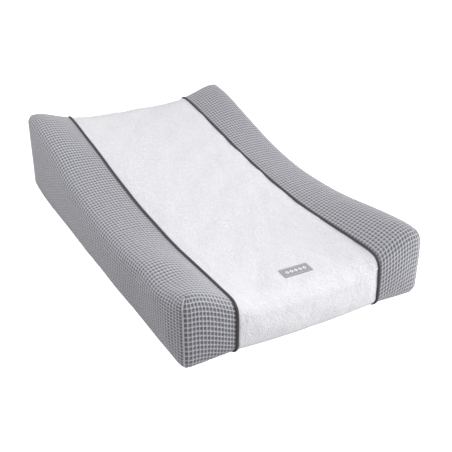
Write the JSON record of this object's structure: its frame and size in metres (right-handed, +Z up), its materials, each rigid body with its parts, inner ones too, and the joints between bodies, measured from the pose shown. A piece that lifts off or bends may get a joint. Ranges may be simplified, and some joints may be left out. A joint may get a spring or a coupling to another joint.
{
  "type": "changing pad",
  "caption": "Contoured foam changing pad with raised side bolsters and head end, in a zipped case under a fitted terry and waffle cover.",
  "frame": {"origin": "on the surface that the pad lies on, under the middle of the pad", "axes": "+Y from the low foot end to the high head end, +X across the pad, +Z up"},
  "size_m": [0.44, 0.7042, 0.1723],
  "materials": {
    "foam": "open-cell foam",
    "coated_sheet": "coated waterproof knit",
    "seam_tape": "heat-sealed tape",
    "zip_tape": "woven tape",
    "zip_coil": "nylon coil",
    "zip_metal": "grey enamelled zinc",
    "terry": "white terry towelling",
    "waffle": "grey waffle weave cotton",
    "piping": "dark woven piping",
    "hem_fabric": "gathered cotton",
    "elastic": "braided elastic",
    "label": "woven label",
    "satin": "satin tape"
  },
  "bodies": {
    "root": {"foam_base": "foam", "foam_left_bolster": "foam", "foam_right_bolster": "foam", "case_top_sheet": "coated_sheet", "case_side_band": "coated_sheet", "case_bottom_sheet": "coated_sheet", "case_top_seam_tape": "seam_tape", "case_bottom_seam_tape": "seam_tape", "zip_left_tape": "zip_tape", "zip_right_tape": "zip_tape", "zip_left_teeth": "zip_coil", "zip_right_teeth": "zip_coil", "zip_end_stops": "zip_metal", "cover_centre_panel": "terry", "cover_left_panel": "waffle", "cover_right_panel": "waffle", "left_piping": "piping", "right_piping": "piping", "corner_seams": "waffle", "hem_casing": "hem_fabric", "hem_elastic": "elastic", "woven_label": "label", "care_tag": "satin"},
    "slider": {"zip_slider": "zip_metal"},
    "pull": {"zip_pull": "zip_metal"}
  },
  "joints": [
    {"name": "zip_slide", "type": "slide", "parent": "root", "child": "slider", "axis": [0, -1, 0], "range_m": [0, 0.48]},
    {"name": "pull_hinge", "type": "hinge", "parent": "slider", "child": "pull", "pos_m": [0, 0.24, 0.0015], "axis": [1, 0, 0], "range_deg": [0, 180]}
  ]
}
